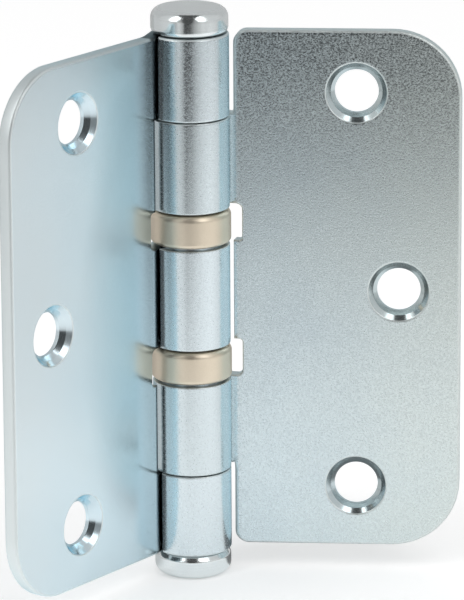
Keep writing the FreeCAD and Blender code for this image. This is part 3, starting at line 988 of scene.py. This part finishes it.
# %% Camera
CAMERA_MM = (-634.90, -484.17, 218.15)
YAW, PITCH, ROLL = (math.radians(angle) for angle in (53.159, -15.376, -0.307))
FOCAL_PX = 4948.9
PICTURE_HEIGHT = 600
forward = mathutils.Vector(
    (math.sin(YAW) * math.cos(PITCH), math.cos(YAW) * math.cos(PITCH), math.sin(PITCH))
)
level_right = mathutils.Vector((math.cos(YAW), -math.sin(YAW), 0))
level_up = level_right.cross(forward)
right = math.cos(ROLL) * level_right + math.sin(ROLL) * level_up
up = -math.sin(ROLL) * level_right + math.cos(ROLL) * level_up
camera_data = bpy.data.cameras.new("camera")
camera_data.sensor_width = 36
camera_data.lens = FOCAL_PX / PICTURE_HEIGHT * camera_data.sensor_width
camera_data.clip_start, camera_data.clip_end = 0.05, 20
camera = bpy.data.objects.new("camera", camera_data)
camera.matrix_world = mathutils.Matrix.Translation(mathutils.Vector(CAMERA_MM) * MM) @ (
    mathutils.Matrix((right, up, -forward)).transposed().to_4x4()
)
bpy.context.scene.collection.objects.link(camera)
bpy.context.scene.camera = camera
print(f"lens {camera_data.lens:.0f} mm, looking {math.degrees(-PITCH):.1f} degrees down")

# %% [markdown]
# ## The studio
#
# Bare metal shows nothing but its surroundings, so the studio is half of the look. The camera looks
# down, so every upright face mirrors what lies low: its lower end the floor close by, which is
# white, and its upper end what stands further out. Cards that only mirrors see stand there, in the
# greys that the metal shows, and they neither shade the hinge nor show in the picture.


# %% Floor and screens
def seen_directly(finish):
    """1 for what the camera sees, also in a mirror or through glass, and 0 for what gives light."""
    seen = [
        finish.node("ShaderNodeLightPath", out=f"Is {kind} Ray")
        for kind in ("Camera", "Glossy", "Transmission")
    ]
    return seen[0] + seen[1] + seen[2]


def stage_card(name, points, quads, shade, glow=0.0, unseen=True):
    """A stage surface from points in millimetres; shade is its grey at each point.

    Glow is a share of the shade that is added to what the camera and the mirrors see of it, not to
    the light that it gives. An unseen card is there for mirrors only.
    """
    mesh = bpy.data.meshes.new(name)
    mesh.from_pydata((points * MM).tolist(), [], quads.tolist())
    mesh.attributes.new("shade", "FLOAT", "POINT").data.foreach_set(
        "value", np.asarray(shade, np.float32)
    )
    card = bpy.data.objects.new(name, mesh)
    bpy.context.scene.collection.objects.link(card)
    finish = Finish(name)
    grey = finish.node("ShaderNodeAttribute", {"attribute_name": "shade"}, {}, out="Fac")
    finish.put(finish.shader.inputs["Base Color"], grey)
    finish.put(finish.shader.inputs["Roughness"], 0.9)
    finish.put(finish.shader.inputs["Specular IOR Level"], 0.0)
    finish.put(finish.shader.inputs["Emission Color"], seen_directly(finish) * grey * glow)
    finish.put(finish.shader.inputs["Emission Strength"], 1.0)
    if unseen:
        card.visible_camera = card.visible_diffuse = card.visible_shadow = False
    finish.wear(card)
    return card


def grid_card(name, x, y, z, shade, glow=0.0):
    """A card whose points are a grid in x, y and z, open on all sides."""
    rows, columns = x.shape
    points = np.stack([x, y, z + 0 * x], axis=-1).reshape(-1, 3)
    quads = bands(rows, columns).reshape(rows - 1, columns, 4)[:, :-1].reshape(-1, 4)
    return stage_card(name, points, quads, (shade + 0 * x).ravel(), glow)


def towards(azimuth):
    """Level direction; azimuth 0 is towards -Y and 90 towards +X."""
    return np.sin(np.radians(azimuth)), -np.cos(np.radians(azimuth))


FLOOR_Z = -HEAD_TOP
FLOOR_REACH = 4000
GLOW = 0.1
FLOOR_GLOW = 0.25
FLOOR_GREY = 0.9
corner = np.array([(-1, -1), (1, -1), (1, 1), (-1, 1)]) * FLOOR_REACH
floor_points = np.hstack([corner, np.full((4, 1), FLOOR_Z)])
floor_quad = np.array([[0, 1, 2, 3]])
stage_card("floor", floor_points, floor_quad, [FLOOR_GREY] * 4, FLOOR_GLOW, unseen=False)

# %% [markdown]
# ## The room that the metal mirrors
#
# The room is a round table that falls off into darkness, with a wall round it, darkest towards the
# camera. Each place of it is named by its level: the height on the barrel that mirrors it to the
# camera, which looks down by 15 degrees. So its shades are curves over the azimuth and the level,
# read off from how dark the barrel and the leaves are. A narrow darker streak runs down the barrel,
# and the table carries a painted shadow of the swung leaf behind it, where its countersinks look
# down on it.

# %% Room
ROOM = 300
ROOM_TOP = 85
DARKEST = 0.95
LEAF_SHADOW_ON_TABLE = 0.75
SLOPE = math.tan(math.radians(15))
ROOM_AZIMUTHS = [-180, -110, -92, -83, -75, -66, -58, -49, -41, -32, -23, -15, -5, 4, 14]
ROOM_DARK = [0.2, 0.25, 0.4, 0.44, 0.57, 0.74, 0.7, 0.68, 0.52, 0.39, 0.31, 0.23, 0.13, 0.05, 0.0]
LEVELS = [-42, -33, -22, -11, -4, 4, 12, 20, 29, 34, 39, 44, 50]
LEVEL_DARK = [0.0, 0.05, 0.15, 0.27, 0.32, 0.42, 0.54, 0.65, 0.78, 0.93, 1.12, 1.3, 1.35]


def curves(first, first_values, second, second_values):
    """Product of two curves, one over the azimuth and one over the level."""
    return np.interp(azimuth, first, first_values) * np.interp(level, second, second_values)


TABLE_ROWS, WALL_ROWS = 61, 30
table = np.full(TABLE_ROWS, FLOOR_Z + 0.3)
wall = np.linspace(FLOOR_Z + 2, ROOM_TOP, WALL_ROWS)
out = np.concatenate([np.linspace(0, ROOM, TABLE_ROWS), np.full(WALL_ROWS, ROOM)])
rise = np.concatenate([table, wall])
radius, azimuth = np.meshgrid(out, np.arange(-180, 180.1, 1.5), indexing="ij")
height = np.repeat(rise[:, None], azimuth.shape[1], axis=1)
level = height + radius * SLOPE
dark = curves(ROOM_AZIMUTHS, ROOM_DARK, LEVELS, LEVEL_DARK)
dark += curves([-69, -67, -62, -60.5], [0, 1, 1, 0], [-40, 5, 25], [0, 0.1, 0.2])
dark += curves([5, 40, 120], [0.0, 0.1, 0.1], [-42, -34, -20, 0, 40], [0, 0.7, 1.9, 2.2, 1.6])
dark += curves([-92, -85, -72, -66], [0, -0.35, -0.35, 0], [46, 49], [0, 1])
dark += curves([-15, 0, 60], [0.0, 0.25, 0.25], [45, 51], [0, 1])
dark += curves([-180, -150, -125, 70, 120, 180], [0.4, 0.3, 0, 0, 0.3, 0.4], [40, 46], [1, 0.3])
# Painted shadow of the swung leaf on the table, behind it.
behind = np.interp(azimuth, [36, 44, 100, 116], [0, 1, 1, 0])
behind = behind * np.interp(radius, [0, 8, 50, 70], [0, 1, 1, 0])
x, y = towards(azimuth)
shade = (1 - np.minimum(dark, DARKEST)) * (1 - LEAF_SHADOW_ON_TABLE * behind)
grid_card("room", radius * x, radius * y, height, shade, GLOW)

# %% [markdown]
# ## Arch and sky
#
# Over the hinge, an arch-shaped flag stands between the two lamps and draws the dark line down the
# middle of the head. A wide sky behind the lamps is a little grey, so that the lamps stand out in
# the rounded metal.

# %% Arch and sky
ARCH_AZIMUTH = -57
ARCH = 300
ARCH_HALF_WIDTH = 82
ARCH_GREY = 0.08
arch_rise = np.radians(np.arange(5, 100, 5))
arch_aside = np.linspace(-ARCH_HALF_WIDTH, ARCH_HALF_WIDTH, 5)
rise, aside = np.meshgrid(arch_rise, arch_aside, indexing="ij")
ahead, across = towards(ARCH_AZIMUTH), towards(ARCH_AZIMUTH + 90)
x, y = (ARCH * np.cos(rise) * ahead[i] + aside * across[i] for i in range(2))
grid_card("arch_flag", x, y, ARCH * np.sin(rise), ARCH_GREY)

SKY = 1500
SKY_AZIMUTHS = [-180, -160, -150, -95, -80, -25, -10, 50, 65, 180]
SKY_SHADE = [0.69, 0.69, 0.8, 0.8, 0.45, 0.45, 0.8, 0.8, 0.69, 0.69]
azimuth, rise = np.meshgrid(np.arange(-180, 181, 5), np.radians(np.linspace(5, 90, 28)))
x, y = towards(azimuth)
shade = np.interp(azimuth, SKY_AZIMUTHS, SKY_SHADE)
grid_card("sky_screen", SKY * np.cos(rise) * x, SKY * np.cos(rise) * y, SKY * np.sin(rise), shade)

# %% [markdown]
# ## Lamps and world
#
# Two tall soft boxes stand left and right of the camera, with the arch between them, and give
# the head and the bearing shells their two highlights. The rest of the light comes from a white
# surrounding.


# %% Lamps and world
def lamp(name, azimuth, elevation, size, power, distance=900):
    """Soft rectangular lamp, size (width, height), that faces the hinge."""
    lift = math.radians(elevation)
    x, y = towards(azimuth)
    place = mathutils.Vector((x * math.cos(lift), y * math.cos(lift), math.sin(lift)))
    light = bpy.data.lights.new(name, "AREA")
    light.shape = "RECTANGLE"
    light.size, light.size_y, light.energy = size[0] * MM, size[1] * MM, power
    made = bpy.data.objects.new(name, light)
    made.location = place * distance * MM
    made.rotation_euler = place.to_track_quat("Z", "Y").to_euler()
    bpy.context.scene.collection.objects.link(made)


LAMP_SIZE = (400, 950)
LAMP_LIFT = 42
LAMP_POWER = 1.6
lamp("left_lamp", -103, LAMP_LIFT, LAMP_SIZE, LAMP_POWER)
lamp("right_lamp", -14, LAMP_LIFT, LAMP_SIZE, LAMP_POWER)

WORLD_LIGHT = 0.75
surrounding = Finish("studio", bpy.data.worlds.new("studio"))
strength = surrounding.between(seen_directly(surrounding), 0.0, 1.0, WORLD_LIGHT, 1.0)
surrounding.put(surrounding.shader.inputs["Color"], (1, 1, 1, 1))
surrounding.put(surrounding.shader.inputs["Strength"], strength)
bpy.context.scene.world = surrounding.material

bpy.context.scene.view_settings.view_transform = "Standard"
